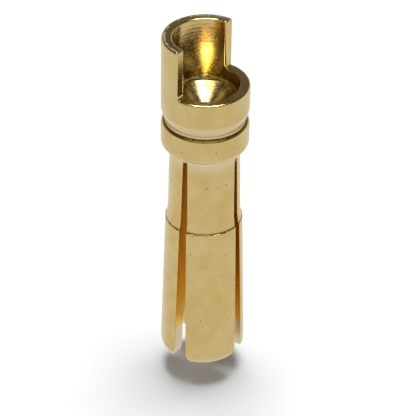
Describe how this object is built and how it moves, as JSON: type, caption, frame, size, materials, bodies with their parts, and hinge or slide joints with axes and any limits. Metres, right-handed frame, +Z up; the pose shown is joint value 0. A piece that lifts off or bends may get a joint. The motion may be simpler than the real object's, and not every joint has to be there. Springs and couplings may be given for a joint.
{
  "type": "bullet plug for a battery lead",
  "caption": "Gold-plated bullet plug for a battery lead: a slotted, sprung contact barrel below a collar and a cut-open solder cup.",
  "frame": {"origin": "centre of the tine ends, on the plug's axis", "axes": "+Z up the axis from the tine ends to the solder cup, +X out of the cup's open side"},
  "size_m": [0.0044, 0.0044, 0.0191],
  "materials": {
    "gold_plate": "satin gold plate over turned brass"
  },
  "bodies": {
    "root": {"bullet_plug": "gold_plate"}
  },
  "joints": []
}
